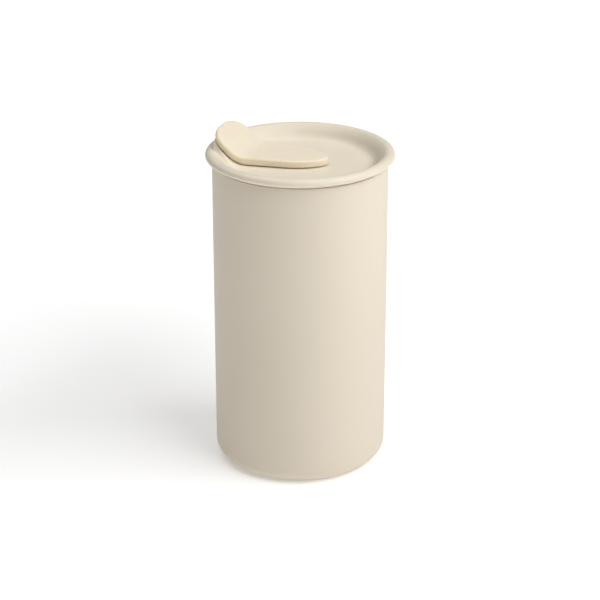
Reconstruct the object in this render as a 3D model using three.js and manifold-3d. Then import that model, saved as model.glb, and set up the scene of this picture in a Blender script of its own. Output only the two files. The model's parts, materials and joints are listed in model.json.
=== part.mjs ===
// Double-walled travel coffee cup with a dished push-fit lid and a soft sip flap.
// Millimetres, +Z up. The origin is the centre of the underside, on the surface the cup stands on.
import * as THREE from 'three';
import { mergeVertices } from 'three/addons/utils/BufferGeometryUtils.js';
import Module from 'manifold-3d';

const wasm = await Module();
wasm.setup();

// ---- driving dimensions -------------------------------------------------------------------
const GAP = 0.3;                  // clearance kept between touching pieces
const ROUND_SEGMENTS = 48;        // facets round every large revolved piece
const SMALL_SEGMENTS = 20;        // facets round pins, holes and plugs
const LID_SEGMENTS = 96;          // facets round the lid's moulding, which carries the drinking lip
const SIP_SEGMENTS = 28;          // facets round the sip hole, its duct and its stopper
const FAR = 60;                   // farther out than any piece reaches

const CUP_RADIUS = 37.5;          // outside of the straight wall
const LIP_TOP = 138.2;            // highest point of the steel lip
const SHEET = 0.6;                // steel thickness of both walls
const FOOT_RADIUS = 6.4;          // round between the wall and the underside
const FOOT_LIFT = 0.4;            // the steel stands this far above the table, on its pad
const FOOT_OPENING = 30.0;        // radius of the opening in the shell's underside
const LINER_RADIUS = 33.7;        // inside of the drinking vessel
const LINER_FLOOR = 14.0;         // inside floor of the drinking vessel
const LINER_CORNER = 9.0;         // round between that floor and the wall
const PAD_RADIUS = 27.0;
const PAD_HEIGHT = 1.2;
const PLATE_HEIGHT = 8.2;         // underside of the plate that closes the vacuum
const DIMPLE_RISE = 1.6;          // the plate is raised this much round its centre
const GETTER_OFFSET = 16;         // the getter sits this far off the cup's axis

const LID_RADIUS = 40.3;          // widest point of the lid's rolled edge
const LID_WIDEST = 139.0;         // height of that point
const CREST_RADIUS = 37.5;        // highest line of the lid's edge
const CREST_HEIGHT = 140.9;
const SKIRT_RADIUS = 38.9;        // lower edge of the rolled edge
const SKIRT_BOTTOM = 137.3;
const DISH_FLOOR = 135.1;         // top of the lid's sunken floor
const DISH_RADIUS = 29.5;         // the floor is flat out to here
const LID_WALL = 1.5;
const INSERT_RADIUS = 32.6;       // plug below the lid
const INSERT_BOTTOM = 122.0;
const INSERT_BORE = 29.4;         // inside of the hollow plug
const GROOVE_RADIUS = 31.0;       // floor of the gasket groove
const GROOVE_LOW = 126.7;
const GROOVE_HIGH = 130.8;

const FLAP_DIRECTION = 160;       // degrees about +Z, from +X to the flap's lifting tab
const FLAP_THICKNESS = 3.3;       // the flat part
const TAB_THICKNESS = 2.3;        // the tip of the tab
const FLAP_BOTTOM = DISH_FLOOR + GAP;
const FLAP_INNER_END = -12.4;     // along the flap, measured from the lid's axis
const FLAP_TAB_END = 36.7;
const FLAP_BEND = 19.5;           // where the flap starts to turn up
const FLAP_BEND_RADIUS = 11.3;
const FLAP_SLOPE = 42;            // degrees, the tab above the floor
const FLAP_WIDTH_INNER = 8.4;     // half the width the flap would have at its inner end
const FLAP_WIDTH_TAB = 14.8;      // and at the end of its tab
const FLAP_ROUND_INNER = 15.0;    // length of the rounded inner end
const FLAP_POWER_INNER = 1.8;     // exponent of that rounding, where 2 is an ellipse
const FLAP_ROUND_TAB = 9.2;       // length of the rounded end of the tab
const FLAP_POWER_TAB = 2.5;
const FLAP_CHAMFER = 0.7;
const HINGE = 4.0;                // the flap bends about this line
const STOPPER = 16.3;             // centre of the sip hole and of its stopper
const SIP_HALF_LENGTH = 4.2;      // along the flap
const SIP_HALF_WIDTH = 7.0;       // across the flap
const STUD = -4.0;                // the two studs that hold the flap
const STUD_SPREAD = 4.6;
const STUD_HOLE = 2.5;

const LIP_START = 20.9;           // where the ramp up to the drinking lip leaves the floor
const LIP_CREST = 145.3;          // top of the raised drinking lip under the tab
const LIP_CREST_RADIUS = 36.2;
const LIP_HALF_WIDTH = 10.6;      // at that height
const LIP_SIDE_RISE = 1.5;        // height gained per millimetre across its sides
const LIP_FACE_RISE = 4.0;        // and per millimetre up its outer face

// ---- helpers ------------------------------------------------------------------------------
const radians = (degrees) => degrees * Math.PI / 180;

// Points on an arc, from one angle to the other, both ends included.
function arc(x, z, radius, from, to, steps) {
  const points = [];
  for (let i = 0; i <= steps; i += 1) {
    const angle = radians(from + (to - from) * i / steps);
    points.push([x + radius * Math.cos(angle), z + radius * Math.sin(angle)]);
  }
  return points;
}

// Solid of revolution about +Z from a counter-clockwise (radius, height) outline.
function turned(outline, segments = ROUND_SEGMENTS) {
  const touchesAxis = outline[0][0] === 0;
  const closed = touchesAxis ? outline : [...outline, outline[0]];
  const profile = closed.map(([radius, height]) => new THREE.Vector2(radius, height));
  const geometry = new THREE.LatheGeometry(profile, segments);
  return geometry.rotateX(Math.PI / 2);
}

function toSolid(geometry) {
  const bare = geometry.clone();
  bare.deleteAttribute('normal');
  bare.deleteAttribute('uv');
  const merged = mergeVertices(bare, 1e-4);
  const vertProperties = new Float32Array(merged.attributes.position.array);
  const corners = merged.index.array;
  const kept = [];
  for (let i = 0; i < corners.length; i += 3) {
    const [a, b, c] = [corners[i], corners[i + 1], corners[i + 2]];
    if (a !== b && b !== c && c !== a) kept.push(a, b, c);
  }
  const triVerts = new Uint32Array(kept);
  return new wasm.Manifold(new wasm.Mesh({ numProp: 3, vertProperties, triVerts }));
}

function toGeometry(solid) {
  const mesh = solid.getMesh();
  const geometry = new THREE.BufferGeometry();
  geometry.setAttribute('position', new THREE.BufferAttribute(mesh.vertProperties, 3));
  geometry.setIndex(new THREE.BufferAttribute(mesh.triVerts, 1));
  geometry.computeVertexNormals();
  return geometry;
}

// Upright tapered post with an elliptical section, its half-sizes given at the top.
function post({ x, y = 0, low, high, halfX, halfY = halfX, foot = 1, segments = SMALL_SEGMENTS }) {
  const geometry = new THREE.CylinderGeometry(1, foot, high - low, segments);
  geometry.rotateX(Math.PI / 2);
  geometry.scale(halfX, halfY, 1);
  geometry.translate(x, y, (low + high) / 2);
  return toSolid(geometry);
}

function piece(name, geometry, material) {
  const mesh = new THREE.Mesh(geometry, material);
  mesh.name = name;
  return mesh;
}

const finish = (color, roughness, metalness = 0) => (
  new THREE.MeshStandardMaterial({ color, roughness, metalness })
);

// ---- cup ----------------------------------------------------------------------------------
// Powder-coated outer wall: rolled in at the lip, rounded at the foot, open underneath.
function outerShell() {
  const inside = CUP_RADIUS - SHEET;
  const footZ = FOOT_LIFT + FOOT_RADIUS;
  const footX = CUP_RADIUS - FOOT_RADIUS;
  const hemTop = 3.2;
  return turned([
    [FOOT_OPENING, FOOT_LIFT],
    ...arc(footX, footZ, FOOT_RADIUS, -90, 0, 6),
    ...arc(CUP_RADIUS - 1.2, LIP_TOP - 1.2, 1.2, 0, 90, 3),
    [CUP_RADIUS - 1.2, LIP_TOP - SHEET],
    [inside, LIP_TOP - 1.2],
    ...arc(footX, footZ, FOOT_RADIUS - SHEET, 0, -90, 5),
    [FOOT_OPENING + SHEET, FOOT_LIFT + SHEET],
    [FOOT_OPENING + SHEET, hemTop],
    [FOOT_OPENING, hemTop],
  ]);
}

// Bare steel drinking vessel, flared at the top to meet the outer wall's lip.
function innerLiner() {
  const outside = LINER_RADIUS + SHEET;
  const cornerX = LINER_RADIUS - LINER_CORNER;
  const cornerZ = LINER_FLOOR + LINER_CORNER;
  const lip = CUP_RADIUS - 1.2 - GAP;
  return turned([
    [0, LINER_FLOOR - SHEET],
    ...arc(cornerX, cornerZ, LINER_CORNER + SHEET, -90, 0, 5),
    [outside, LIP_TOP - 5.2],
    [outside + 0.35, LIP_TOP - 2.6],
    [lip - 0.6, LIP_TOP - 1.0],
    [lip, LIP_TOP - SHEET],
    [lip, LIP_TOP],
    [lip - 0.9, LIP_TOP - 0.4],
    [LINER_RADIUS + 0.45, LIP_TOP - 2.4],
    [LINER_RADIUS, LIP_TOP - 5.0],
    ...arc(cornerX, cornerZ, LINER_CORNER, 0, -90, 5),
    [0, LINER_FLOOR],
  ]);
}

// Plate that closes the vacuum from below, with a dimple and an evacuation hole at its centre.
function vacuumBase() {
  const rim = CUP_RADIUS - SHEET - GAP;
  const rimTop = PLATE_HEIGHT + 4.0;
  const dimple = 5.0;
  const hole = 0.9;
  const corner = 1.5;
  return turned([
    [hole, PLATE_HEIGHT + DIMPLE_RISE],
    [dimple - 1.2, PLATE_HEIGHT + DIMPLE_RISE],
    [dimple, PLATE_HEIGHT],
    [rim - corner, PLATE_HEIGHT],
    [rim, PLATE_HEIGHT + corner],
    [rim, rimTop],
    [rim - SHEET, rimTop],
    [rim - SHEET, PLATE_HEIGHT + corner + 0.2],
    [rim - corner - 0.2, PLATE_HEIGHT + SHEET],
    [dimple + 0.3, PLATE_HEIGHT + SHEET],
    [dimple - 0.9, PLATE_HEIGHT + DIMPLE_RISE + SHEET],
    [hole, PLATE_HEIGHT + DIMPLE_RISE + SHEET],
  ]);
}

// Drop of sealing glass that fills the dimple and closes the evacuation hole.
function vacuumSealBead() {
  const top = PLATE_HEIGHT + DIMPLE_RISE - GAP;
  return turned([
    [0, top - 1.3],
    [2.0, top - 1.1],
    [3.0, top - 0.5],
    [3.0, top],
    [0, top],
  ], SMALL_SEGMENTS);
}

// Pill that soaks up the last gas, fixed to the vacuum side of the plate.
function getterCapsule() {
  const low = PLATE_HEIGHT + SHEET + GAP;
  return turned([
    [0, low],
    [4.0, low],
    [4.0, low + 1.6],
    [3.2, low + 2.2],
    [0, low + 2.2],
  ], SMALL_SEGMENTS);
}

// Cap that covers the vacuum plate: a shallow dish, pressed into the shell's foot opening.
function baseCap() {
  const rim = FOOT_OPENING - GAP;
  const underside = PAD_HEIGHT + GAP;
  return turned([
    [0, underside],
    [rim - 1.0, underside],
    [rim, underside + 1.0],
    [rim, underside + 3.4],
    [rim - SHEET, underside + 3.4],
    [rim - SHEET, underside + 1.2],
    [rim - 1.2, underside + SHEET],
    [0, underside + SHEET],
  ]);
}

// Soft disc the cup stands on.
function basePad() {
  return turned([
    [0, 0],
    [PAD_RADIUS - 0.4, 0],
    [PAD_RADIUS, 0.4],
    [PAD_RADIUS, PAD_HEIGHT],
    [0, PAD_HEIGHT],
  ]);
}

// ---- lid ----------------------------------------------------------------------------------
const FLAP_BEND_LENGTH = FLAP_BEND_RADIUS * Math.sin(radians(FLAP_SLOPE));

// Height of the flap's underside at a distance along it, lowered by a clearance along its normal.
function flapUnderside(along, clearance = 0) {
  const centreZ = FLAP_BOTTOM + FLAP_BEND_RADIUS;
  const radius = FLAP_BEND_RADIUS + clearance;
  const slope = radians(FLAP_SLOPE);
  const bendEnd = FLAP_BEND + radius * Math.sin(slope);
  if (along <= FLAP_BEND) return centreZ - radius;
  if (along >= bendEnd) return centreZ - radius * Math.cos(slope) + (along - bendEnd) * Math.tan(slope);
  return centreZ - Math.sqrt(radius ** 2 - (along - FLAP_BEND) ** 2);
}

// Height of the drinking lip: a ramp under the tab, with sloping sides and a steep outer face.
function lipHeight(x, y) {
  if (x < LIP_START + 0.01) return 0;
  const facetAllowance = 0.06;
  const ramp = flapUnderside(x, GAP + facetAllowance);
  const side = LIP_CREST - (Math.abs(y) - LIP_HALF_WIDTH) * LIP_SIDE_RISE;
  const face = LIP_CREST - (Math.hypot(x, y) - LIP_CREST_RADIUS) * LIP_FACE_RISE;
  return Math.min(LIP_CREST, ramp, side, face);
}

// Raises the top of the turned lid where the drinking lip stands above it. The top starts at the
// given point of the outline, and every meridian repeats the outline from its first point.
function raiseLip(geometry, pointsInOutline, firstOnTop) {
  const place = geometry.attributes.position;
  for (let i = 0; i < place.count; i += 1) {
    const height = lipHeight(place.getX(i), place.getY(i));
    const onTop = i % pointsInOutline >= firstOnTop;
    if (onTop && height > place.getZ(i)) place.setZ(i, height);
  }
  return geometry;
}

// Upper moulding: sunken floor, sloping wall, rolled edge that hides the steel lip, drinking lip.
function lidTop() {
  const floorUnder = DISH_FLOOR - LID_WALL;
  const seat = LIP_TOP + GAP;
  const skirtInside = CUP_RADIUS + 0.4;
  const underAndEdge = [
    [0, floorUnder],
    [INSERT_RADIUS, floorUnder],
    [INSERT_RADIUS, floorUnder + 1.6],
    [34.1, LIP_TOP - 1.2],
    [35.0, seat],
    [skirtInside, seat],
    [skirtInside, SKIRT_BOTTOM + 0.2],
    [skirtInside + 0.3, SKIRT_BOTTOM],
    [SKIRT_RADIUS, SKIRT_BOTTOM],
    [LID_RADIUS - 0.35, LID_WIDEST - 0.9],
    [LID_RADIUS, LID_WIDEST],
    [LID_RADIUS - 0.45, LID_WIDEST + 1.0],
    [CREST_RADIUS + 1.3, CREST_HEIGHT - 0.3],
  ];
  const dish = [
    [CREST_RADIUS, CREST_HEIGHT],
    [CREST_RADIUS - 0.6, CREST_HEIGHT - 0.1],
    [CREST_RADIUS - 1.4, CREST_HEIGHT - 0.5],
    [35.0, DISH_FLOOR + 4.5],
    [34.0, DISH_FLOOR + 3.5],
    [32.2, DISH_FLOOR + 1.5],
    [31.0, DISH_FLOOR + 0.4],
    [DISH_RADIUS, DISH_FLOOR],
    ...[28.0, 26.5, 25.0, 23.6, 22.3, LIP_START].map((radius) => [radius, DISH_FLOOR]),
    [0, DISH_FLOOR],
  ];
  const outline = [...underAndEdge, ...dish];
  const blank = turned(outline, LID_SEGMENTS);
  const moulding = toSolid(raiseLip(blank, outline.length, underAndEdge.length));
  const low = floorUnder - 1;
  const high = DISH_FLOOR + 1;
  const holes = [
    post({
      x: STOPPER,
      low,
      high,
      halfX: SIP_HALF_LENGTH,
      halfY: SIP_HALF_WIDTH,
      segments: SIP_SEGMENTS,
    }),
    post({ x: STUD, y: -STUD_SPREAD, low, high, halfX: STUD_HOLE }),
    post({ x: STUD, y: STUD_SPREAD, low, high, halfX: STUD_HOLE }),
  ];
  return toGeometry(holes.reduce((solid, hole) => solid.subtract(hole), moulding));
}

// Lower moulding: a hollow plug with the gasket groove round it and the drinking duct through it.
function lidInsert() {
  const top = DISH_FLOOR - LID_WALL - GAP;
  const floorTop = INSERT_BOTTOM + 1.5;
  const wallFoot = 2.0;
  const ductWall = 1.2;
  const cup = toSolid(turned([
    [0, INSERT_BOTTOM],
    [GROOVE_RADIUS - wallFoot, INSERT_BOTTOM],
    [GROOVE_RADIUS, INSERT_BOTTOM + wallFoot],
    [INSERT_RADIUS, GROOVE_LOW - 1.3],
    [INSERT_RADIUS, GROOVE_LOW],
    [GROOVE_RADIUS, GROOVE_LOW],
    [GROOVE_RADIUS, GROOVE_HIGH],
    [INSERT_RADIUS, GROOVE_HIGH],
    [INSERT_RADIUS, top],
    [INSERT_BORE, top],
    [INSERT_BORE, INSERT_BOTTOM + wallFoot + 1.4],
    [GROOVE_RADIUS - wallFoot - 1.4, floorTop],
    [0, floorTop],
  ]));
  const duct = post({
    x: STOPPER,
    low: INSERT_BOTTOM + 0.5,
    high: top,
    halfX: SIP_HALF_LENGTH + ductWall,
    halfY: SIP_HALF_WIDTH + ductWall,
    segments: SIP_SEGMENTS,
  });
  const bore = post({
    x: STOPPER,
    low: INSERT_BOTTOM - 1,
    high: top + 1,
    halfX: SIP_HALF_LENGTH,
    halfY: SIP_HALF_WIDTH,
    segments: SIP_SEGMENTS,
  });
  return toGeometry(cup.add(duct).subtract(bore));
}

// Silicone ring with two sealing lips, stretched into the groove of the plug.
function lidGasket() {
  const bore = GROOVE_RADIUS + GAP;
  const low = GROOVE_LOW + GAP;
  const high = GROOVE_HIGH - GAP;
  const lipRadius = LINER_RADIUS - GAP;
  const valley = bore + 1.0;
  const middle = (low + high) / 2;
  return turned([
    [bore, low],
    [valley, low],
    [lipRadius, low + 0.9],
    [valley, middle],
    [lipRadius, middle + 0.9],
    [valley, high],
    [bore, high],
  ]);
}

// ---- flap ---------------------------------------------------------------------------------
// Half the flap's width at a distance along it: a tongue that widens steadily towards its tab,
// with rounded ends.
function flapHalfWidth(along) {
  const share = (along - FLAP_INNER_END) / (FLAP_TAB_END - FLAP_INNER_END);
  const width = THREE.MathUtils.lerp(FLAP_WIDTH_INNER, FLAP_WIDTH_TAB, share);
  const intoInner = Math.max(0, FLAP_INNER_END + FLAP_ROUND_INNER - along) / FLAP_ROUND_INNER;
  const intoTab = Math.max(0, along - FLAP_TAB_END + FLAP_ROUND_TAB) / FLAP_ROUND_TAB;
  const closeInner = Math.max(0, 1 - intoInner ** FLAP_POWER_INNER) ** (1 / FLAP_POWER_INNER);
  const closeTab = Math.max(0, 1 - intoTab ** FLAP_POWER_TAB) ** (1 / FLAP_POWER_TAB);
  return width * closeInner * closeTab;
}

// Cross-section of the flap at a distance along it: eight corners, chamfered edges.
function flapSection(along) {
  const half = flapHalfWidth(along);
  const share = Math.max(0, along - FLAP_BEND) / (FLAP_TAB_END - FLAP_BEND);
  const thick = THREE.MathUtils.lerp(FLAP_THICKNESS, TAB_THICKNESS, share);
  const flat = Math.max(0, half - FLAP_CHAMFER);
  const turn = Math.min(1, Math.max(0, along - FLAP_BEND) / FLAP_BEND_LENGTH);
  const slope = Math.asin(turn * Math.sin(radians(FLAP_SLOPE)));
  const corners = [
    [-flat, 0], [flat, 0], [half, FLAP_CHAMFER], [half, thick - FLAP_CHAMFER],
    [flat, thick], [-flat, thick], [-half, thick - FLAP_CHAMFER], [-half, FLAP_CHAMFER],
  ];
  return corners.map(([across, lift]) => [
    along - lift * Math.sin(slope),
    across,
    flapUnderside(along) + lift * Math.cos(slope),
  ]);
}

// Places of the cross-sections along the flap, closest together towards its two ends.
function flapStations() {
  const { lerp } = THREE.MathUtils;
  const roundSteps = 8;
  const straightSteps = 3;
  const bendSteps = 4;
  const stations = [];
  for (let i = 0; i <= roundSteps; i += 1) {
    const share = 1 - Math.cos(radians(90 * i / roundSteps));
    stations.push(FLAP_INNER_END + FLAP_ROUND_INNER * share);
  }
  for (let i = 1; i <= straightSteps; i += 1) {
    stations.push(lerp(FLAP_INNER_END + FLAP_ROUND_INNER, FLAP_BEND, i / straightSteps));
  }
  for (let i = 1; i <= bendSteps; i += 1) {
    stations.push(FLAP_BEND + FLAP_BEND_LENGTH * i / bendSteps);
  }
  for (let i = 1; i <= roundSteps; i += 1) {
    const share = 1 - Math.sin(radians(90 * i / roundSteps));
    stations.push(FLAP_TAB_END - FLAP_ROUND_TAB * share);
  }
  return stations;
}

// The whole bent tongue, cross-section after cross-section.
function flapTongue() {
  const stations = flapStations();
  const position = [];
  const index = [];
  stations.forEach((along) => flapSection(along).forEach((corner) => position.push(...corner)));
  const corners = 8;
  const last = (stations.length - 1) * corners;
  for (let i = 0; i < stations.length - 1; i += 1) {
    for (let k = 0; k < corners; k += 1) {
      const a = i * corners + k;
      const b = i * corners + (k + 1) % corners;
      index.push(a, b, b + corners, a, b + corners, a + corners);
    }
  }
  for (let k = 1; k < corners - 1; k += 1) {
    index.push(0, k, k + 1);
    index.push(last, last + k + 1, last + k);
  }
  const geometry = new THREE.BufferGeometry();
  geometry.setAttribute('position', new THREE.BufferAttribute(new Float32Array(position), 3));
  geometry.setIndex(index);
  return toSolid(geometry);
}

// Cutting block between two places along the flap and two heights, wider than the flap.
function block(x0, x1, z0, z1) {
  const geometry = new THREE.BoxGeometry(x1 - x0, FAR, z1 - z0);
  return toSolid(geometry.translate((x0 + x1) / 2, 0, (z0 + z1) / 2));
}

// Fixed end of the flap with the two mushroom studs that snap through the lid.
function flapAnchor(tongue) {
  const half = FLAP_THICKNESS / 2;
  const end = HINGE - half - GAP;
  const top = FLAP_BOTTOM + FLAP_THICKNESS;
  const plate = tongue.intersect(block(-FAR, end, FLAP_BOTTOM - 1, top + 1));
  const chamferGeometry = new THREE.BoxGeometry(3, FAR, 3);
  chamferGeometry.rotateY(radians(45));
  chamferGeometry.translate(end, 0, top + 1.1);
  const body = plate.subtract(toSolid(chamferGeometry));
  const neckLow = DISH_FLOOR - LID_WALL - GAP;
  const studs = [-STUD_SPREAD, STUD_SPREAD].map((y) => {
    const neck = post({ x: STUD, y, low: neckLow - 0.5, high: FLAP_BOTTOM + 0.5, halfX: STUD_HOLE - GAP });
    const head = post({ x: STUD, y, low: neckLow - 2.4, high: neckLow, halfX: 3.6, foot: 0.45 });
    return neck.add(head);
  });
  return toGeometry(studs.reduce((solid, stud) => solid.add(stud), body));
}

// Lifting part of the flap: its rounded end lies on the bending line, its stopper in the sip hole.
function sipFlap(tongue) {
  const half = FLAP_THICKNESS / 2;
  const rounded = new THREE.CylinderGeometry(half, half, FAR, 16);
  rounded.translate(HINGE, 0, FLAP_BOTTOM + half);
  const end = toSolid(rounded).intersect(tongue);
  const plate = tongue.intersect(block(HINGE, FAR, FLAP_BOTTOM - 1, FLAP_BOTTOM + 30));
  const stopper = post({
    x: STOPPER,
    low: FLAP_BOTTOM - 3.8,
    high: FLAP_BOTTOM + 0.5,
    halfX: SIP_HALF_LENGTH - GAP,
    halfY: SIP_HALF_WIDTH - GAP,
    foot: 0.74,
    segments: SIP_SEGMENTS,
  });
  return toGeometry(plate.add(end).add(stopper));
}

// ---- assembly -----------------------------------------------------------------------------
const cup = new THREE.Group();
cup.add(
  piece('outer_shell', outerShell(), finish(0xe3d9c6, 0.62)),
  piece('inner_liner', innerLiner(), finish(0xc4c2be, 0.32, 1)),
  piece('vacuum_base', vacuumBase(), finish(0xb9b7b3, 0.4, 1)),
  piece('vacuum_seal_bead', vacuumSealBead(), finish(0x4a4038, 0.2)),
  piece('base_cap', baseCap(), finish(0xe3d9c6, 0.62)),
  piece('base_pad', basePad(), finish(0xe6dac0, 0.8)),
);
const getter = piece('getter_capsule', getterCapsule(), finish(0x9a9a9c, 0.5, 1));
getter.position.x = GETTER_OFFSET;
cup.add(getter);

const lid = new THREE.Group();
const tongue = flapTongue();
lid.add(
  piece('lid_top', lidTop(), finish(0xeadfca, 0.45)),
  piece('lid_insert', lidInsert(), finish(0xeadfca, 0.45)),
  piece('lid_gasket', lidGasket(), finish(0xe8e4da, 0.6)),
  piece('flap_anchor', flapAnchor(tongue), finish(0xf0e3c4, 0.7)),
  piece('sip_flap', sipFlap(tongue), finish(0xf0e3c4, 0.7)),
);
lid.rotation.z = radians(FLAP_DIRECTION);

const coffeeCup = new THREE.Group();
coffeeCup.add(cup, lid);

export default coffeeCup;
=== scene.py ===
"""Cream travel coffee cup with a dished lid and a soft sip flap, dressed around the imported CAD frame."""
import json
import math

import bmesh
import bpy
from mathutils import Matrix, Vector


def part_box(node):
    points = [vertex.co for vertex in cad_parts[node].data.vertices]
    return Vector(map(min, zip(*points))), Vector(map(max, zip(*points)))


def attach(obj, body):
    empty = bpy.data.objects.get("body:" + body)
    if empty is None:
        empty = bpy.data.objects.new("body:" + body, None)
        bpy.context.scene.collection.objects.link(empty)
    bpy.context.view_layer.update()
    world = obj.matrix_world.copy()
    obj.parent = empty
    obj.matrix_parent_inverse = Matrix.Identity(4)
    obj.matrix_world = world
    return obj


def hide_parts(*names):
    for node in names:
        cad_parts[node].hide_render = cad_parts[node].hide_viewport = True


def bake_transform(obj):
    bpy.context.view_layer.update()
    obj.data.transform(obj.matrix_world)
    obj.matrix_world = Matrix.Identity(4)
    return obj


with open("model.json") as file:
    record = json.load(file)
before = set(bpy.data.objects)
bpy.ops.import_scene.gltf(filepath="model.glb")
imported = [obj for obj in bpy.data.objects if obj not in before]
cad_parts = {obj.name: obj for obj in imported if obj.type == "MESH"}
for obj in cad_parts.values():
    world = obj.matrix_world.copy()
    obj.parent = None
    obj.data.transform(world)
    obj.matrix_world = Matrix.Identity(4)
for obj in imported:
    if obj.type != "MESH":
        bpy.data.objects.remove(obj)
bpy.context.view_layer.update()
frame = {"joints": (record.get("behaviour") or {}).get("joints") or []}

MM = 0.001
ROUND = 192                     # facets round the large turned pieces
FINE = 64                       # facets round studs, duct and stopper


# ---- driving sizes, millimetres: from the frame, and the rest as the CAD part was drawn ------
def low(node):
    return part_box(node)[0] / MM


def high(node):
    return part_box(node)[1] / MM


HINGE_JOINT = next(j for j in frame["joints"] if j["name"] == "flap_hinge")
HINGE_POINT = Vector(HINGE_JOINT["pos_m"]) / MM
FLAP_DIRECTION = math.atan2(HINGE_POINT.y, HINGE_POINT.x)

CUP_RADIUS = high("outer_shell").x
LIP_TOP = high("outer_shell").z
FOOT_LIFT = low("outer_shell").z
SHEET = 0.6
FOOT_RADIUS = 6.4
FOOT_OPENING = high("base_cap").x + 0.3
LINER_LIP = high("inner_liner").x
LINER_RADIUS = high("lid_gasket").x + 0.3
LINER_FLOOR = low("inner_liner").z + SHEET
LINER_CORNER = 9.0

LID_RADIUS = high("lid_top").x
CREST = 140.9                   # top of the lid's rolled edge, away from the drinking lip
LID_UNDER = low("lid_top").z
DISH_FLOOR = LID_UNDER + 1.5
SKIRT_BOTTOM = DISH_FLOOR + 2.2
INSERT_RADIUS = high("lid_insert").x
INSERT_TOP = high("lid_insert").z
INSERT_BOTTOM = low("lid_insert").z
GROOVE_LOW = low("lid_gasket").z - 0.3
GROOVE_HIGH = high("lid_gasket").z + 0.3
GROOVE_RADIUS = INSERT_RADIUS - 1.6

FLAP_THICKNESS = 3.3            # the flat part
TAB_THICKNESS = 2.3             # the tip of the tab
FLAP_BOTTOM = HINGE_POINT.z - FLAP_THICKNESS / 2
FLAP_INNER_END = -12.4
FLAP_TAB_END = 36.7
FLAP_BEND = 19.5
FLAP_BEND_RADIUS = 11.3
FLAP_SLOPE = math.radians(42)
FLAP_WIDTH_INNER = 8.4          # half widths, before the ends are rounded
FLAP_WIDTH_TAB = 14.8
FLAP_EDGE = 0.95                # rounding of the flap's edges
STOPPER = 16.3
SIP_HALF_LENGTH = 4.2
SIP_HALF_WIDTH = 7.0
STUD = -4.0
STUD_SPREAD = 4.6
STUD_HOLE = 2.5

LIP_CREST = 145.3               # the raised drinking lip under the tab
LIP_CREST_RADIUS = 36.2
LIP_HALF_WIDTH = 10.6
LIP_SIDE_RISE = 1.5
LIP_FACE_RISE = 4.0


# ---- shape helpers ---------------------------------------------------------------------------
def arc(x, z, radius, start, end, steps=10):
    """Points on an arc in the (radius, height) plane, angles in degrees, both ends included."""
    points = []
    for i in range(steps + 1):
        angle = math.radians(start + (end - start) * i / steps)
        points.append((x + radius * math.cos(angle), z + radius * math.sin(angle)))
    return points


def corner(before, at, after, radius, steps=6):
    """The points of a fillet of that radius where two straight stretches meet."""
    a, p, b = Vector(before), Vector(at), Vector(after)
    u, v = (a - p).normalized(), (b - p).normalized()
    half = u.angle(v) / 2
    reach = radius / math.tan(half)
    centre = p + (u + v).normalized() * (radius / math.sin(half))
    start, end = p + u * reach - centre, p + v * reach - centre
    turn = start.angle_signed(end)
    points = []
    for i in range(steps + 1):
        spoke = start.copy()
        spoke.rotate(Matrix.Rotation(-turn * i / steps, 2))
        points.append(tuple(centre + spoke))
    return points


def rounded(outline, closed=True):
    """An outline of (x, z, fillet radius) corners, with every fillet worked out as points."""
    points = []
    count = len(outline)
    for i, (x, z, radius) in enumerate(outline):
        at_end = not closed and i in (0, count - 1)
        if radius <= 0 or at_end:
            points.append((x, z))
            continue
        before, after = outline[i - 1][:2], outline[(i + 1) % count][:2]
        points += corner(before, (x, z), after, radius)
    return points


def spline(points, steps=8):
    """Catmull-Rom curve through the points, ends included."""
    ends = [points[0], *points, points[-1]]
    curve = []
    for i in range(len(points) - 1):
        a, b, c, d = (Vector(p) for p in ends[i:i + 4])
        for k in range(steps):
            t = k / steps
            curve.append(tuple(0.5 * (
                2 * b + (c - a) * t + (2 * a - 5 * b + 4 * c - d) * t ** 2
                + (3 * b - a - 3 * c + d) * t ** 3)))
    return [*curve, tuple(points[-1])]


def finish_mesh(name, bm, smooth_angle=35):
    """Turns a bmesh in millimetres into an object in metres, with sharp edges where it really turns."""
    bmesh.ops.remove_doubles(bm, verts=bm.verts, dist=1e-4)
    bmesh.ops.dissolve_degenerate(bm, edges=bm.edges, dist=1e-5)
    bmesh.ops.recalc_face_normals(bm, faces=bm.faces)
    bm.transform(Matrix.Scale(MM, 4))
    mesh = bpy.data.meshes.new(name)
    bm.to_mesh(mesh)
    bm.free()
    mesh.shade_smooth()
    mesh.set_sharp_from_angle(angle=math.radians(smooth_angle))
    piece = bpy.data.objects.new(name, mesh)
    bpy.context.scene.collection.objects.link(piece)
    return piece


def turned(name, outline, segments=ROUND, at=(0, 0), scale=(1, 1), raised=None):
    """Solid of revolution about a vertical axis. The outline closes on itself or on the axis.
    raised, where given, is a function of x, y and z for the heights from the highest point on."""
    bm = bmesh.new()
    rings = []
    highest = max(range(len(outline)), key=lambda i: outline[i][1])
    for i, (radius, z) in enumerate(outline):
        ring = []
        for k in range(segments if radius > 1e-6 else 1):
            angle = 2 * math.pi * k / segments
            x = at[0] + radius * scale[0] * math.cos(angle)
            y = at[1] + radius * scale[1] * math.sin(angle)
            ring.append(bm.verts.new((x, y, raised(x, y, z) if raised and i >= highest else z)))
        rings.append(ring)
    on_axis = outline[0][0] < 1e-6
    last = len(rings) - 1 if on_axis else len(rings)
    for i in range(last):
        a, b = rings[i], rings[(i + 1) % len(rings)]
        for k in range(segments):
            m = (k + 1) % segments
            quad = [a[k % len(a)], a[m % len(a)], b[m % len(b)], b[k % len(b)]]
            corners = list(dict.fromkeys(quad))
            if len(corners) > 2:
                bm.faces.new(corners)
    return finish_mesh(name, bm)


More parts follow.
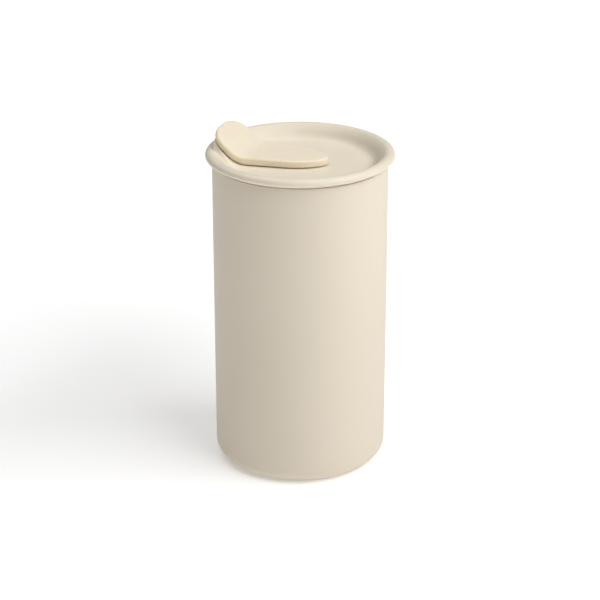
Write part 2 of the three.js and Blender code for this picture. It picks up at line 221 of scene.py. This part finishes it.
def combine(target, tools, operation):
    """Joins or cuts with the tools, which are used up."""
    for tool in tools:
        modifier = target.modifiers.new("combine", "BOOLEAN")
        modifier.operation = operation
        modifier.solver = "EXACT"
        modifier.object = tool
        bpy.context.view_layer.update()
        evaluated = target.evaluated_get(bpy.context.evaluated_depsgraph_get())
        mesh = bpy.data.meshes.new_from_object(evaluated)
        target.modifiers.clear()
        target.data = mesh
        bpy.data.objects.remove(tool)
    target.data.shade_smooth()
    target.data.set_sharp_from_angle(angle=math.radians(35))
    return target


def into_place(piece):
    """Turns a piece built along +X into the flap's direction."""
    piece.data.transform(Matrix.Rotation(FLAP_DIRECTION, 4, "Z"))
    return piece


def post(name, x, y, outline, half_x=1.0, half_y=None):
    """Upright pin or cutter with an elliptical section, from a (share of radius, height) outline."""
    return turned(name, outline, FINE, at=(x, y), scale=(half_x, half_y or half_x))


# ---- materials -------------------------------------------------------------------------------
def srgb(r, g, b):
    """Linear colour from a 0-255 display colour."""
    def linear(c):
        c /= 255
        return c / 12.92 if c <= 0.04045 else ((c + 0.055) / 1.055) ** 2.4
    return (linear(r), linear(g), linear(b), 1.0)


class Nodes:
    """Small helper that adds nodes to one material and links them."""

    def __init__(self, name):
        self.material = bpy.data.materials.new(name)
        self.material.use_nodes = True
        self.tree = self.material.node_tree
        self.shader = self.tree.nodes["Principled BSDF"]
        self.coordinates = self.tree.nodes.new("ShaderNodeTexCoord").outputs["Object"]

    def add(self, kind, inputs=(), **settings):
        node = self.tree.nodes.new(kind)
        for key, value in settings.items():
            setattr(node, key, value)
        for key, value in dict(inputs).items():
            self.set(node.inputs[key], value)
        return node

    def set(self, socket, value):
        if isinstance(value, bpy.types.NodeSocket):
            self.tree.links.new(value, socket)
        else:
            socket.default_value = value

    def stretched(self, scale):
        mapping = self.add("ShaderNodeMapping", {"Vector": self.coordinates, "Scale": scale})
        return mapping.outputs["Vector"]

    def noise(self, size_mm, detail=2.0, roughness=0.5, vector=None):
        """Noise whose features are about size_mm across."""
        node = self.add("ShaderNodeTexNoise", {
            "Vector": vector or self.coordinates,
            "Scale": 1 / (size_mm * MM),
            "Detail": detail,
            "Roughness": roughness,
        })
        return node.outputs["Fac"]

    def ramp(self, value, lowest, highest, start=0.3, end=0.7):
        node = self.add("ShaderNodeMapRange", {
            "Value": value, "From Min": start, "From Max": end,
            "To Min": lowest, "To Max": highest,
        })
        return node.outputs["Result"]

    def mix(self, share, first, second):
        node = self.add("ShaderNodeMix", data_type="RGBA")
        self.set(node.inputs["Factor"], share)
        colours = [s for s in node.inputs if s.type == "RGBA"]
        self.set(colours[0], first)
        self.set(colours[1], second)
        return next(s for s in node.outputs if s.type == "RGBA")

    def bump(self, height, depth_mm, strength=1.0, under=None):
        node = self.add("ShaderNodeBump", {
            "Height": height, "Distance": depth_mm * MM, "Strength": strength,
        })
        if under is not None:
            self.set(node.inputs["Normal"], under)
        return node.outputs["Normal"]

    def shade(self, **sockets):
        for key, value in sockets.items():
            self.set(self.shader.inputs[key.replace("_", " ")], value)
        return self.material


def powder_coat():
    n = Nodes("powder_coat")
    grain = n.noise(0.35, detail=3.0)
    peel = n.noise(1.6, detail=1.0)
    drift = n.noise(45.0, detail=1.0)
    colour = n.mix(n.ramp(drift, 0.0, 1.0), srgb(226, 215, 196), srgb(229, 218, 200))
    speckle = n.mix(n.ramp(grain, 0.0, 0.12, 0.45, 0.75), colour, srgb(203, 190, 168))
    normal = n.bump(peel, 0.012, under=n.bump(grain, 0.016))
    return n.shade(
        Base_Color=speckle,
        Roughness=n.ramp(grain, 0.50, 0.62),
        Normal=normal,
    )


def lid_plastic():
    n = Nodes("lid_plastic")
    spark = n.noise(0.22, detail=2.0)
    flow = n.noise(12.0, detail=2.0)
    colour = n.mix(n.ramp(flow, 0.0, 1.0), srgb(229, 219, 200), srgb(232, 222, 204))
    return n.shade(
        Base_Color=colour,
        Roughness=n.ramp(spark, 0.42, 0.54),
        Normal=n.bump(spark, 0.008),
        Subsurface_Weight=0.2,
        Subsurface_Scale=0.0015,
        Subsurface_Radius=(1.0, 0.6, 0.35),
    )


def silicone(name, light, deep, roughness=(0.50, 0.62), soft=0.25):
    n = Nodes(name)
    skin = n.noise(0.3, detail=2.0)
    cloud = n.noise(7.0, detail=2.0)
    return n.shade(
        Base_Color=n.mix(n.ramp(cloud, 0.0, 1.0), light, deep),
        Roughness=n.ramp(skin, *roughness),
        Normal=n.bump(skin, 0.010),
        Subsurface_Weight=soft,
        Subsurface_Scale=0.0030,
        Subsurface_Radius=(1.0, 0.5, 0.18),
    )


def steel(name, colour, across=(1.0, 1.0, 60.0)):
    n = Nodes(name)
    grain = n.noise(2.0, detail=4.0, roughness=0.65, vector=n.stretched(across))
    return n.shade(
        Base_Color=n.mix(n.ramp(grain, 0.0, 1.0), colour, srgb(188, 186, 182)),
        Metallic=1.0,
        Roughness=n.ramp(grain, 0.22, 0.40),
        Normal=n.bump(grain, 0.006),
    )


def seal_glass():
    n = Nodes("seal_glass")
    wisp = n.noise(1.5)
    return n.shade(
        Base_Color=n.mix(wisp, srgb(60, 48, 38), srgb(84, 70, 58)),
        Roughness=n.ramp(wisp, 0.12, 0.25),
        Normal=n.bump(wisp, 0.02),
    )


POWDER = powder_coat()
PLASTIC = lid_plastic()
FLAP_SOFT = silicone("flap_silicone", srgb(241, 229, 208), srgb(239, 226, 204), soft=0.5)
GASKET_SOFT = silicone("gasket_silicone", srgb(226, 222, 212), srgb(218, 213, 202), (0.4, 0.55), 0.4)
PAD_SOFT = silicone("pad_silicone", srgb(218, 207, 185), srgb(211, 199, 176), (0.72, 0.85), 0.1)
STEEL = steel("bare_steel", srgb(206, 204, 200))
GETTER = steel("getter_metal", srgb(150, 150, 152), across=(1.0, 1.0, 1.0))
GLASS = seal_glass()


def place(piece, material, body, slot, *nodes):
    piece.data.materials.clear()
    piece.data.materials.append(material)
    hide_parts(*nodes)
    if body:
        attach(piece, body)
    return piece


# ---- cup -------------------------------------------------------------------------------------
def cup_wall():
    """The outer wall, with a shallow groove just under the lid's edge and an open foot."""
    inside = CUP_RADIUS - SHEET
    foot_z, foot_x = FOOT_LIFT + FOOT_RADIUS, CUP_RADIUS - FOOT_RADIUS
    outline = [(FOOT_OPENING, FOOT_LIFT + 0.5)]
    outline += arc(FOOT_OPENING + 0.5, FOOT_LIFT + 0.5, 0.5, 180, 270, 5)[1:]
    outline += arc(foot_x, foot_z, FOOT_RADIUS, -90, 0, 24)
    outline += [(CUP_RADIUS, LIP_TOP * k / 12) for k in range(1, 12)]
    groove_low, groove_high, groove_radius = LIP_TOP - 1.95, LIP_TOP - 1.3, CUP_RADIUS - 0.4
    outline += [(CUP_RADIUS, groove_low), (groove_radius, groove_low + 0.1)]
    outline += [(groove_radius, groove_high - 0.1), (CUP_RADIUS, groove_high)]
    outline += arc(CUP_RADIUS - 1.2, LIP_TOP - 1.2, 1.2, 0, 90, 8)
    outline += [(CUP_RADIUS - 1.2, LIP_TOP - SHEET), (inside, LIP_TOP - 1.2)]
    outline += arc(foot_x, foot_z, FOOT_RADIUS - SHEET, 0, -90, 12)
    outline += [(FOOT_OPENING + SHEET, FOOT_LIFT + SHEET)]
    outline += [(FOOT_OPENING + SHEET, 3.2), (FOOT_OPENING, 3.2)]
    return place(turned("cup_wall", outline), POWDER, "cup", "powder_coat", "outer_shell")


def cup_liner():
    outside = LINER_RADIUS + SHEET
    x, z = LINER_RADIUS - LINER_CORNER, LINER_FLOOR + LINER_CORNER
    outline = [(0, LINER_FLOOR - SHEET)]
    outline += arc(x, z, LINER_CORNER + SHEET, -90, 0, 16)
    outline += spline([
        (outside, LIP_TOP - 5.2), (outside + 0.35, LIP_TOP - 2.6),
        (LINER_LIP - 0.6, LIP_TOP - 1.0), (LINER_LIP, LIP_TOP - SHEET)])
    outline += arc(LINER_LIP - 0.3, LIP_TOP - 0.3, 0.3, 0, 90, 4)
    outline += spline([
        (LINER_LIP - 0.5, LIP_TOP - 0.12), (LINER_LIP - 0.9, LIP_TOP - 0.4),
        (LINER_RADIUS + 0.45, LIP_TOP - 2.4), (LINER_RADIUS, LIP_TOP - 5.0)])
    outline += [(LINER_RADIUS, LIP_TOP - 5 - k * 8) for k in range(1, 13)]
    outline += arc(x, z, LINER_CORNER, 0, -90, 16)
    outline += [(x * k / 6, LINER_FLOOR) for k in range(5, -1, -1)]
    return place(turned("cup_liner", outline), STEEL, "cup", "bare_steel", "inner_liner")


def vacuum_plate():
    under, top = low("vacuum_base").z, high("vacuum_base").z
    rim = high("vacuum_base").x
    rise = 1.6
    outline = rounded([
        (0.9, under + rise, 0.0), (3.8, under + rise, 0.6), (5.0, under, 0.6),
        (rim, under, 1.9), (rim, top, 0.25), (rim - SHEET, top, 0.25),
        (rim - SHEET, under + SHEET, 1.3), (5.3, under + SHEET, 0.6),
        (4.1, under + rise + SHEET, 0.6), (0.9, under + rise + SHEET, 0.0)])
    return place(turned("vacuum_plate", outline), STEEL, "cup", "bare_steel", "vacuum_base")


def seal_bead():
    under, top = low("vacuum_seal_bead").z, high("vacuum_seal_bead").z
    outline = [(0, under), *arc(1.6, under + 0.9, 0.9, -90, -20, 6), (3.0, top - 0.35)]
    outline += [(3.0, top), (0, top)]
    piece = turned("seal_bead", outline, FINE)
    return place(piece, GLASS, "cup", "seal_glass", "vacuum_seal_bead")


def getter():
    under, top = low("getter_capsule"), high("getter_capsule")
    centre = (under.x + top.x) / 2, (under.y + top.y) / 2
    radius = (top.x - under.x) / 2
    outline = rounded([
        (0, under.z, 0), (radius, under.z, 0.3), (radius, top.z, 0.8), (0, top.z, 0)], closed=False)
    piece = turned("getter", outline, FINE, at=centre)
    return place(piece, GETTER, "cup", "getter_metal", "getter_capsule")


def foot_cap():
    under, top = low("base_cap").z, high("base_cap").z
    rim = high("base_cap").x
    outline = rounded([
        (0, under, 0), (rim, under, 1.2), (rim, top, 0.25), (rim - SHEET, top, 0.25),
        (rim - SHEET, under + SHEET, 0.7), (0, under + SHEET, 0)], closed=False)
    return place(turned("foot_cap", outline), POWDER, "cup", "powder_coat", "base_cap")


def foot_pad():
    top, radius = high("base_pad").z, high("base_pad").x
    outline = [(0, 0)]
    for ring in (8.0, 13.0, 18.0, 23.0):
        outline += rounded([
            (ring - 0.6, 0, 0.12), (ring - 0.4, 0.35, 0.12),
            (ring + 0.4, 0.35, 0.12), (ring + 0.6, 0, 0.12)], closed=False)
    outline += arc(radius - 0.45, 0.45, 0.45, -90, 0, 6)
    outline += [(radius, top), (0, top)]
    return place(turned("foot_pad", outline), PAD_SOFT, "cup", "pad_silicone", "base_pad")


# ---- lid -------------------------------------------------------------------------------------
def lower_of(a, b, blend):
    """The lower of two heights, with the corner between them rounded off."""
    h = max(0.0, blend - abs(a - b)) / blend
    return min(a, b) - h * h * blend / 4


def lip_height(x, y):
    """Height of the drinking lip: a ramp under the tab, sloping sides, a steep outer face."""
    if x < FLAP_BEND:
        return 0.0
    ramp = flap_underside(x, 0.4)[0]
    side = LIP_CREST - (abs(y) - LIP_HALF_WIDTH) * LIP_SIDE_RISE
    face = LIP_CREST - (math.hypot(x, y) - LIP_CREST_RADIUS) * LIP_FACE_RISE
    height = lower_of(LIP_CREST + 0.1, lower_of(side, face, 3.0), 2.0)
    return lower_of(height, ramp, 1.2)


def with_lip(x, y, z, spread=0.5):
    """Height of the dish or its crest, lifted where the drinking lip stands above it."""
    height = lip_height(x, y)
    h = max(0.0, spread - abs(height - z)) / spread
    return max(height, z) + h * h * spread / 4


def lid_moulding():
    """The lid's upper moulding: sunken floor, sloping wall, rolled edge and drinking lip."""
    seat = LIP_TOP + 0.3
    skirt = CUP_RADIUS + 0.4
    crest, dish = 37.5, 29.2        # radii of the crest and of the flat floor's edge
    outline = [(0, LID_UNDER), (INSERT_RADIUS, LID_UNDER), (INSERT_RADIUS, LID_UNDER + 1.6)]
    outline += [(34.1, LIP_TOP - 1.2), (35.0, seat), (skirt, seat), (skirt, SKIRT_BOTTOM + 0.25)]
    outline += arc(skirt + 0.25, SKIRT_BOTTOM + 0.25, 0.25, 180, 270, 3)
    outline += spline([
        (38.7, SKIRT_BOTTOM), (39.6, SKIRT_BOTTOM + 0.5), (LID_RADIUS - 0.1, SKIRT_BOTTOM + 1.2),
        (LID_RADIUS, SKIRT_BOTTOM + 1.8), (LID_RADIUS - 0.2, SKIRT_BOTTOM + 2.4),
        (LID_RADIUS - 0.75, CREST - 0.55), (LID_RADIUS - 1.7, CREST - 0.1), (crest, CREST),
        (36.1, CREST - 0.45), (34.2, CREST - 2.0), (32.4, DISH_FLOOR + 1.6),
        (30.9, DISH_FLOOR + 0.4), (dish, DISH_FLOOR)], steps=10)
    outline += [(dish - 0.4 * k, DISH_FLOOR) for k in range(1, 22)]
    outline += [(20.6 * k / 4, DISH_FLOOR) for k in range(3, -1, -1)]
    piece = turned("lid_moulding", outline, 2 * ROUND, raised=with_lip)
    below, above = LID_UNDER - 0.5, DISH_FLOOR

    def flared(edge):
        """Cutter outline for a hole whose top edge is rounded by edge, a share of its radius."""
        flare = [(1 + edge * (1 - math.cos(a)), above - 0.5 + 0.5 * math.sin(a))
                 for a in (math.radians(d) for d in (0, 22, 45, 67, 90))]
        return [(0, below), (1, below), *flare, (1 + edge, above + 0.5), (0, above + 0.5)]

    holes = [
        post("sip_cut", STOPPER, 0, flared(0.06), SIP_HALF_LENGTH, SIP_HALF_WIDTH),
        post("stud_cut", STUD, STUD_SPREAD, flared(0.1), STUD_HOLE),
        post("stud_cut", STUD, -STUD_SPREAD, flared(0.1), STUD_HOLE),
    ]
    into_place(combine(piece, holes, "DIFFERENCE"))
    return place(piece, PLASTIC, "lid", "lid_plastic", "lid_top")


def lid_plug():
    floor = INSERT_BOTTOM + 1.5
    bore = 29.4
    outline = rounded([
        (0, INSERT_BOTTOM, 0), (GROOVE_RADIUS, INSERT_BOTTOM, 1.8),
        (GROOVE_RADIUS, INSERT_BOTTOM + 2.4, 0.5), (INSERT_RADIUS, GROOVE_LOW - 1.3, 0.4),
        (INSERT_RADIUS, GROOVE_LOW, 0.25), (GROOVE_RADIUS, GROOVE_LOW, 0.15),
        (GROOVE_RADIUS, GROOVE_HIGH, 0.15), (INSERT_RADIUS, GROOVE_HIGH, 0.25),
        (INSERT_RADIUS, INSERT_TOP, 0.2), (bore, INSERT_TOP, 0.2),
        (bore, floor, 2.0), (0, floor, 0)], closed=False)
    piece = turned("lid_plug", outline)
    wall = 1.2
    duct = post(
        "duct", STOPPER, 0,
        [(0, INSERT_BOTTOM + 0.5), (1, INSERT_BOTTOM + 0.5), (1, INSERT_TOP), (0, INSERT_TOP)],
        SIP_HALF_LENGTH + wall, SIP_HALF_WIDTH + wall)
    through = [(0, INSERT_BOTTOM - 1), (1.12, INSERT_BOTTOM - 1), (1.12, INSERT_BOTTOM)]
    through += [(1 + 0.12 * (1 - math.sin(a)), INSERT_BOTTOM + 0.6 * (1 - math.cos(a)))
                for a in (math.radians(d) for d in (22, 45, 67, 90))]
    through += [(1, INSERT_TOP + 1), (0, INSERT_TOP + 1)]
    bore_cut = post("bore_cut", STOPPER, 0, through, SIP_HALF_LENGTH, SIP_HALF_WIDTH)
    combine(piece, [duct], "UNION")
    combine(piece, [bore_cut], "DIFFERENCE")
    into_place(piece)
    return place(piece, PLASTIC, "lid", "lid_plastic", "lid_insert")


def gasket():
    under, top = low("lid_gasket").z, high("lid_gasket").z
    bore, lip = GROOVE_RADIUS + 0.3, high("lid_gasket").x
    valley = bore + 1.0
    outline = rounded([
        (bore, under, 0.2), (valley, under, 0.2), (lip, under + 0.75, 0.22),
        (lip, under + 1.05, 0.22), (valley, under + 1.6, 0.3), (lip, under + 2.35, 0.22),
        (lip, under + 2.65, 0.22), (valley, top, 0.2), (bore, top, 0.2)])
    return place(turned("gasket", outline), GASKET_SOFT, "seal", "gasket_silicone", "lid_gasket")


# ---- flap ------------------------------------------------------------------------------------
def flap_half_width(along):
    """Half the width of the tongue, which widens towards its tab, at a distance along the flap."""
    round_inner, power_inner = 15.0, 1.8
    round_tab, power_tab = 9.2, 2.5
    share = (along - FLAP_INNER_END) / (FLAP_TAB_END - FLAP_INNER_END)
    width = FLAP_WIDTH_INNER + (FLAP_WIDTH_TAB - FLAP_WIDTH_INNER) * share
    inner = max(0.0, FLAP_INNER_END + round_inner - along) / round_inner
    tab = max(0.0, along - FLAP_TAB_END + round_tab) / round_tab
    close_inner = max(0.0, 1 - inner ** power_inner) ** (1 / power_inner)
    close_tab = max(0.0, 1 - tab ** power_tab) ** (1 / power_tab)
    return width * close_inner * close_tab


def flap_outline(steps=72):
    """Plan outline of the flap: closed, counter-clockwise, finest at its two ends."""
    length = FLAP_TAB_END - FLAP_INNER_END
    side = []
    for i in range(steps + 1):
        along = FLAP_INNER_END + length * (1 - math.cos(math.pi * i / steps)) / 2
        side.append(Vector((along, flap_half_width(along))))
    near = [Vector((p.x, -p.y)) for p in side[1:-1]]
    return [side[0], *near, side[-1], *reversed(side[1:-1])]


def inset(outline, distance):
    """The outline moved inwards by a distance, corner by corner."""
    moved = []
    for i, point in enumerate(outline):
        run = outline[(i + 1) % len(outline)] - outline[i - 1]
        inward = Vector((-run.y, run.x)).normalized()
        moved.append(point + inward * distance)
    return moved


def flap_underside(along, clearance=0.0):
    """Height and slope angle of the flap's underside, or of a surface that clears it."""
    radius = FLAP_BEND_RADIUS + clearance
    centre = FLAP_BOTTOM + FLAP_BEND_RADIUS
    bend_end = FLAP_BEND + radius * math.sin(FLAP_SLOPE)
    if along <= FLAP_BEND:
        return centre - radius, 0.0
    if along < bend_end:
        angle = math.asin((along - FLAP_BEND) / radius)
        return centre - radius * math.cos(angle), angle
    height = centre - radius * math.cos(FLAP_SLOPE)
    return height + (along - bend_end) * math.tan(FLAP_SLOPE), FLAP_SLOPE


def on_flap(point, share, lift):
    """A point of the sheet: its place in plan, and its height along the underside's normal, as a
    share of the sheet's thickness there plus a lift."""
    z, slope = flap_underside(point.x)
    out = max(0.0, point.x - FLAP_BEND) / (FLAP_TAB_END - FLAP_BEND)
    height = share * (FLAP_THICKNESS + (TAB_THICKNESS - FLAP_THICKNESS) * out) + lift
    return Vector((point.x - height * math.sin(slope), point.y, z + height * math.cos(slope)))


def flap_tongue():
    """The bent tongue with rounded edges, as loops round its outline closed towards a spine."""
    outline = flap_outline()
    edge_steps, fill_steps = 6, 12
    spine_low, spine_high = FLAP_INNER_END + 9.0, FLAP_TAB_END - 9.0

    def edge(side):
        """Loops up the rounded edge at the underside, share 0, or down it from the top, share 1."""
        rows = []
        for k in range(edge_steps + 1):
            angle = math.radians(90) * k / edge_steps
            inward = FLAP_EDGE * (1 - math.sin(angle))
            lift = FLAP_EDGE * (1 - math.cos(angle))
            rows.append([on_flap(p, side, lift - 2 * side * lift) for p in inset(outline, inward)])
        return rows if side == 0 else rows[::-1]

    def fill(side):
        """Loops from the spine out to the edge, over the underside or the top."""
        rows = []
        for k in range(fill_steps):
            row = []
            for p in inset(outline, FLAP_EDGE):
                spine = Vector((min(spine_high, max(spine_low, p.x)), 0))
                row.append(on_flap(spine.lerp(p, k / fill_steps), side, 0))
            rows.append(row)
        return rows if side == 0 else rows[::-1]

    bm = bmesh.new()
    loops = fill(0) + edge(0) + edge(1) + fill(1)
    grid = [[bm.verts.new(p) for p in row] for row in loops]
    count = len(outline)
    for a, b in zip(grid, grid[1:]):
        for k in range(count):
            m = (k + 1) % count
            bm.faces.new((a[k], a[m], b[m], b[k]))
    return finish_mesh("sip_tongue", bm)


def sip_tongue():
    piece = flap_tongue()
    root = FLAP_BOTTOM + 0.6
    tip = low("sip_flap").z
    plug = [(0, tip), *arc(0.62, tip + 0.5, 0.12, -90, 0, 5), (0.93, FLAP_BOTTOM)]
    plug += [(0.95, root), (0, root)]
    stopper = post("stopper", STOPPER, 0, plug, SIP_HALF_LENGTH, SIP_HALF_WIDTH)
    head_low, neck = low("flap_anchor").z, STUD_HOLE - 0.3
    mushroom = rounded([
        (0, head_low, 0), (2.0, head_low, 0.3), (3.6, LID_UNDER - 0.9, 0.3),
        (3.6, LID_UNDER - 0.3, 0.25), (neck, LID_UNDER - 0.3, 0.1),
        (neck, root, 0), (0, root, 0)], closed=False)
    studs = [post("stud", STUD, side * STUD_SPREAD, mushroom) for side in (1, -1)]
    combine(piece, [stopper, *studs], "UNION")
    into_place(piece)
    place(piece, FLAP_SOFT, None, "flap_silicone", "flap_anchor", "sip_flap")
    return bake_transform(piece)


# ---- studio ----------------------------------------------------------------------------------
def look(thing, target):
    thing.rotation_mode = "QUATERNION"
    thing.rotation_quaternion = (target - thing.location).to_track_quat("-Z", "Y")


def camera():
    elevation = math.radians(22.95)
    distance = 0.8643
    target = Vector((0, 0, 0.07134))
    data = bpy.data.cameras.new("camera")
    data.lens = 118.6
    data.sensor_width = 36
    data.shift_x = -0.0003
    data.shift_y = 0.0008
    data.clip_start, data.clip_end = 0.05, 50
    cam = bpy.data.objects.new("camera", data)
    cam.location = target + distance * Vector((0, -math.cos(elevation), math.sin(elevation)))
    look(cam, target)
    bpy.context.scene.collection.objects.link(cam)
    bpy.context.scene.camera = cam


def softbox(name, azimuth, elevation, distance, width, height, power):
    """Area light aimed at the cup. Azimuth 0 is the camera's side, 90 is the camera's right."""
    data = bpy.data.lights.new(name, "AREA")
    data.shape = "RECTANGLE"
    data.size, data.size_y = width, height
    data.energy = power
    light = bpy.data.objects.new(name, data)
    a, e = math.radians(azimuth), math.radians(elevation)
    target = Vector((0, 0, 0.07))
    direction = Vector((math.sin(a) * math.cos(e), -math.cos(a) * math.cos(e), math.sin(e)))
    light.location = target + direction * distance
    look(light, target)
    bpy.context.scene.collection.objects.link(light)


def floor():
    """White sheet that glows with painted light, more strongly far out, where the softboxes reach it less.
    """
    bm = bmesh.new()
    bmesh.ops.create_circle(bm, cap_ends=True, radius=6000, segments=96)
    piece = finish_mesh("floor", bm)
    n = Nodes("floor")
    speck = n.noise(400.0)
    away = n.add("ShaderNodeVectorMath", {0: n.coordinates}, operation="LENGTH").outputs["Value"]
    near, far = 0.12, 0.50          # metres from the cup
    n.shade(
        Base_Color=n.mix(speck, (0.88, 0.88, 0.88, 1), (0.90, 0.90, 0.90, 1)),
        Roughness=0.9,
        Emission_Color=(1, 1, 1, 1),
        # painted light: the floor's own glow, from 0.25 near the cup to 0.50 far out
        Emission_Strength=n.ramp(away, 0.25, 0.50, near, far),
    )
    piece.data.materials.append(n.material)


def studio():
    world = bpy.data.worlds.new("studio")
    world.use_nodes = True
    background = world.node_tree.nodes["Background"]
    background.inputs["Color"].default_value = (1.0, 0.97, 0.93, 1)
    background.inputs["Strength"].default_value = 0.04
    bpy.context.scene.world = world
    bpy.context.scene.view_settings.view_transform = "Standard"
    softbox("key", azimuth=60, elevation=45, distance=1.3, width=1.3, height=0.6, power=12.8)
    softbox("top", azimuth=-120, elevation=80, distance=2.2, width=2.6, height=2.6, power=32)


camera()
floor()
studio()
cup_wall()
cup_liner()
vacuum_plate()
seal_bead()
getter()
foot_cap()
foot_pad()
lid_moulding()
lid_plug()
gasket()
sip_tongue()
